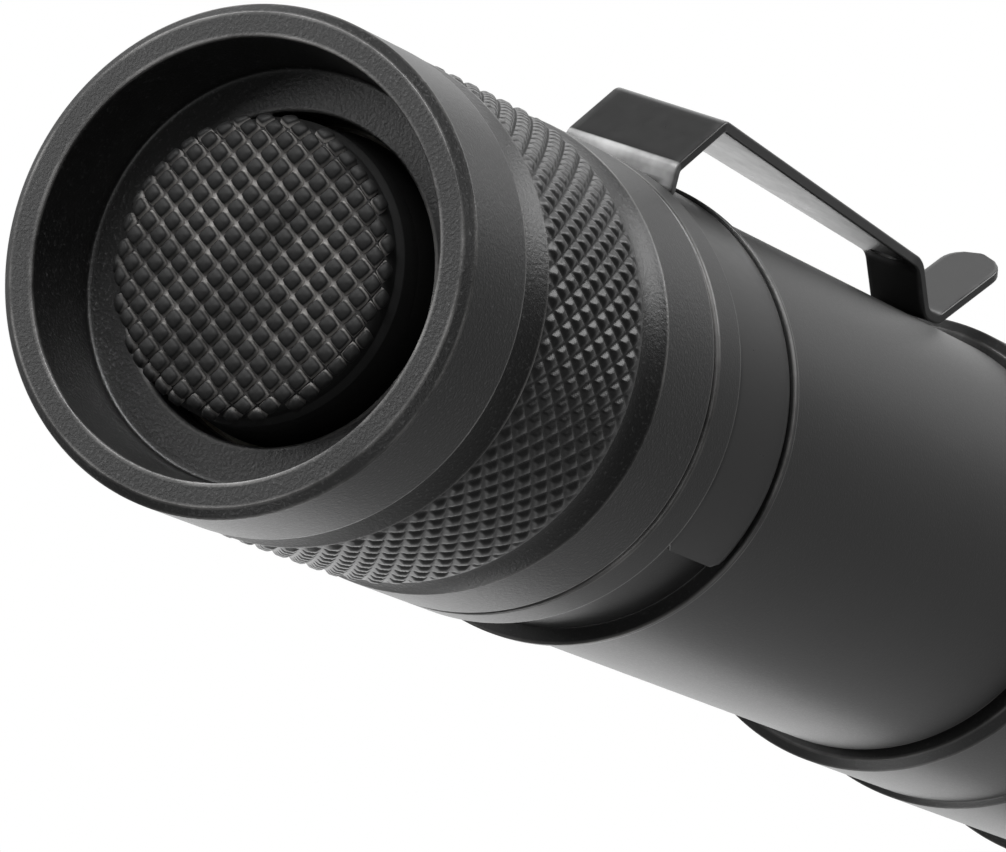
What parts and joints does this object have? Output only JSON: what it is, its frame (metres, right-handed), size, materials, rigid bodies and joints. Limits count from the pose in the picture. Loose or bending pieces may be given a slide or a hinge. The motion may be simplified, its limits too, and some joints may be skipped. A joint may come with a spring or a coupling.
{
  "type": "tactical flashlight",
  "caption": "Slim black handheld tactical flashlight with a knurled tail cap, recessed rubber push switch, clip-on pocket clip and scalloped bezel.",
  "frame": {"origin": "centre of the tail ring's flat end, on which the light stands", "axes": "+Z along the light's axis from the tail to the bezel, +X from the axis towards the pocket clip"},
  "size_m": [0.0311, 0.0278, 0.1256],
  "materials": {
    "anodised": "satin black hard anodising, bead blasted",
    "boot_rubber": "matt moulded silicone rubber",
    "clip_steel": "black oxide spring steel, semi-gloss",
    "brass": "turned, satin",
    "spring_nickel": "nickel plated spring wire",
    "switch_plastic": "moulded nylon",
    "seal_rubber": "silicone sealing ring, greased",
    "cell_wrap": "shrink-wrapped cell can",
    "cell_metal": "nickel plated steel",
    "board": "glass-epoxy circuit board",
    "chip": "moulded electronic parts",
    "led_white": "white solder mask",
    "led_dome": "clear silicone over yellow phosphor",
    "reflector": "vacuum metallised, smooth",
    "glass": "coated flat glass"
  },
  "bodies": {
    "light_body": {"battery_tube": "anodised", "rear_seal": "seal_rubber", "front_seal": "seal_rubber", "battery_can": "cell_wrap", "battery_button": "cell_metal", "head_housing": "anodised", "driver_retaining_ring": "brass", "driver_board": "board", "driver_components": "chip", "head_contact_spring": "spring_nickel", "led_board": "led_white", "led_emitter": "led_white", "led_dome": "led_dome", "centring_ring": "led_white", "reflector": "reflector", "lens": "glass", "lens_seal": "boot_rubber", "bezel": "anodised"},
    "tail_end": {"tail_cap": "anodised", "tail_knurl": "anodised", "boot_flange": "boot_rubber", "boot_washer": "brass", "switch_housing": "switch_plastic", "switch_return_spring": "spring_nickel", "switch_retaining_ring": "brass", "tail_contact_plate": "brass", "tail_contact_spring": "spring_nickel"},
    "switch_button": {"switch_boot": "boot_rubber", "switch_plunger": "switch_plastic"},
    "clip": {"pocket_clip": "clip_steel"}
  },
  "joints": [
    {"name": "tail_cap_twist", "type": "hinge", "parent": "light_body", "child": "tail_end", "pos_m": [0, 0, 0.02], "axis": [0, 0, 1], "range_deg": [0, 90]},
    {"name": "switch_press", "type": "slide", "parent": "tail_end", "child": "switch_button", "axis": [0, 0, 1], "range_m": [0, 0.0016], "stiffness_N_per_m": 1000, "springref_m": -0.0015, "deforming": ["switch_return_spring"]},
    {"name": "clip_turn", "type": "hinge", "parent": "light_body", "child": "clip", "pos_m": [0, 0, 0.036], "axis": [0, 0, 1], "continuous": true}
  ]
}
